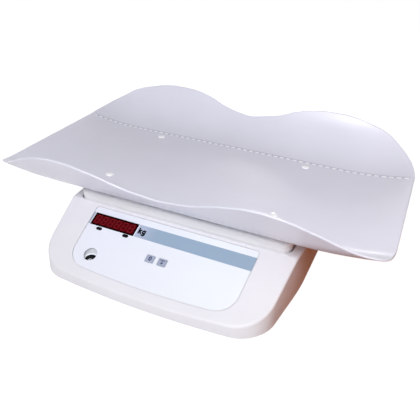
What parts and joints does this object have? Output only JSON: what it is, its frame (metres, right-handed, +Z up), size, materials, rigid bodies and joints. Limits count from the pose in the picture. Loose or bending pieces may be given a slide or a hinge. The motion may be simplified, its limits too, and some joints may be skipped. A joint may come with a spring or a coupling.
{
  "type": "digital baby weighing scale",
  "caption": "Low electronic baby scale: a wave-edged open weighing tray on a platform over a housing with a sloping display panel, keys, spirit level and levelling feet.",
  "frame": {"origin": "middle of the footprint on the surface that the feet stand on", "axes": "+X along the tray to the right of someone facing the display, +Y away from them, +Z up"},
  "size_m": [0.5412, 0.3832, 0.1581],
  "materials": {
    "tray": "satin white polypropylene with a faint lavender cast",
    "housing": "fine-grained warm white ABS",
    "overlay": "printed white polycarbonate label with a blue-grey band",
    "window": "deep red filter over the digits",
    "electronics": "black moulded parts",
    "board": "green glass-fibre board",
    "key": "grey key",
    "lens": "clear level glass",
    "white_screw": "white dome head",
    "steel": "zinc-plated screw steel",
    "zinc_sheet": "zinc-plated sheet steel",
    "aluminium": "milled aluminium",
    "rubber": "dark rubber",
    "cable": "grey-black cable jacket"
  },
  "bodies": {
    "base": {"load_cell": "aluminium", "load_cell_pedestal": "aluminium", "base_bolt_1": "steel", "base_bolt_2": "steel", "overload_stop_front_left": "steel", "overload_stop_front_right": "steel", "overload_stop_rear_left": "steel", "overload_stop_rear_right": "steel", "top_housing": "housing", "base_plate": "zinc_sheet", "case_screw_1": "steel", "case_screw_2": "steel", "case_screw_3": "steel", "case_screw_4": "steel", "case_screw_5": "steel", "case_screw_6": "steel", "panel_overlay": "overlay", "display_window": "window", "display_module": "electronics", "display_board": "board", "zero_switch": "electronics", "tare_switch": "electronics", "display_board_screw_1": "steel", "display_board_screw_2": "steel", "level_vial": "electronics", "level_lens": "lens", "main_board": "board", "main_board_screw_1": "steel", "main_board_screw_2": "steel", "load_cell_cable": "cable", "power_cable": "cable", "display_cable": "cable", "power_inlet": "electronics", "power_switch": "electronics"},
    "platform": {"tray": "tray", "tray_screw_front_left": "white_screw", "tray_screw_front_right": "white_screw", "tray_screw_rear_left": "white_screw", "tray_screw_rear_right": "white_screw", "tray_spacer_front_left": "housing", "tray_spacer_front_right": "housing", "tray_spacer_rear_left": "housing", "tray_spacer_rear_right": "housing", "platform_cover": "housing", "platform_frame": "zinc_sheet", "load_cell_top_spacer": "aluminium", "top_bolt_1": "steel", "top_bolt_2": "steel"},
    "zero_key": {"zero_key": "key"},
    "tare_key": {"tare_key": "key"},
    "power_rocker": {"power_rocker": "electronics"},
    "foot_pad_front_left": {"foot_pad_front_left": "rubber"},
    "foot_stem_front_left": {"foot_stem_front_left": "steel"},
    "foot_pad_front_right": {"foot_pad_front_right": "rubber"},
    "foot_stem_front_right": {"foot_stem_front_right": "steel"},
    "foot_pad_rear_left": {"foot_pad_rear_left": "rubber"},
    "foot_stem_rear_left": {"foot_stem_rear_left": "steel"},
    "foot_pad_rear_right": {"foot_pad_rear_right": "rubber"},
    "foot_stem_rear_right": {"foot_stem_rear_right": "steel"}
  },
  "joints": [
    {"name": "platform_press", "type": "slide", "parent": "base", "child": "platform", "axis": [0, 0, -1], "range_m": [0, 0.0005], "stiffness_N_per_m": 300000, "springref_m": -0.00012},
    {"name": "zero_key_press", "type": "slide", "parent": "base", "child": "zero_key", "axis": [0, 0.4163, -0.9092], "range_m": [0, 0.0005], "stiffness_N_per_m": 3000, "springref_m": -0.0002},
    {"name": "tare_key_press", "type": "slide", "parent": "base", "child": "tare_key", "axis": [0, 0.4163, -0.9092], "range_m": [0, 0.0005], "stiffness_N_per_m": 3000, "springref_m": -0.0002},
    {"name": "power_rocker_tilt", "type": "hinge", "parent": "base", "child": "power_rocker", "pos_m": [0.058, 0.13491, 0.03], "axis": [1, 0, 0], "range_deg": [0, 20]},
    {"name": "foot_lift_front_left", "type": "slide", "parent": "base", "child": "foot_pad_front_left", "axis": [0, 0, -1], "range_m": [0, 0.006]},
    {"name": "foot_turn_front_left", "type": "hinge", "parent": "foot_pad_front_left", "child": "foot_stem_front_left", "pos_m": [-0.128, -0.14739, 0.01], "axis": [0, 0, -1], "range_deg": [0, 1728]},
    {"name": "foot_lift_front_right", "type": "slide", "parent": "base", "child": "foot_pad_front_right", "axis": [0, 0, -1], "range_m": [0, 0.006]},
    {"name": "foot_turn_front_right", "type": "hinge", "parent": "foot_pad_front_right", "child": "foot_stem_front_right", "pos_m": [0.128, -0.14739, 0.01], "axis": [0, 0, -1], "range_deg": [0, 1728]},
    {"name": "foot_lift_rear_left", "type": "slide", "parent": "base", "child": "foot_pad_rear_left", "axis": [0, 0, -1], "range_m": [0, 0.006]},
    {"name": "foot_turn_rear_left", "type": "hinge", "parent": "foot_pad_rear_left", "child": "foot_stem_rear_left", "pos_m": [-0.128, 0.10161, 0.01], "axis": [0, 0, -1], "range_deg": [0, 1728]},
    {"name": "foot_lift_rear_right", "type": "slide", "parent": "base", "child": "foot_pad_rear_right", "axis": [0, 0, -1], "range_m": [0, 0.006]},
    {"name": "foot_turn_rear_right", "type": "hinge", "parent": "foot_pad_rear_right", "child": "foot_stem_rear_right", "pos_m": [0.128, 0.10161, 0.01], "axis": [0, 0, -1], "range_deg": [0, 1728]}
  ],
  "couplings": [
    {"joint": "foot_turn_front_left", "follows": "foot_lift_front_left", "rad_per_m": 5026.5},
    {"joint": "foot_turn_front_right", "follows": "foot_lift_front_right", "rad_per_m": 5026.5},
    {"joint": "foot_turn_rear_left", "follows": "foot_lift_rear_left", "rad_per_m": 5026.5},
    {"joint": "foot_turn_rear_right", "follows": "foot_lift_rear_right", "rad_per_m": 5026.5}
  ]
}
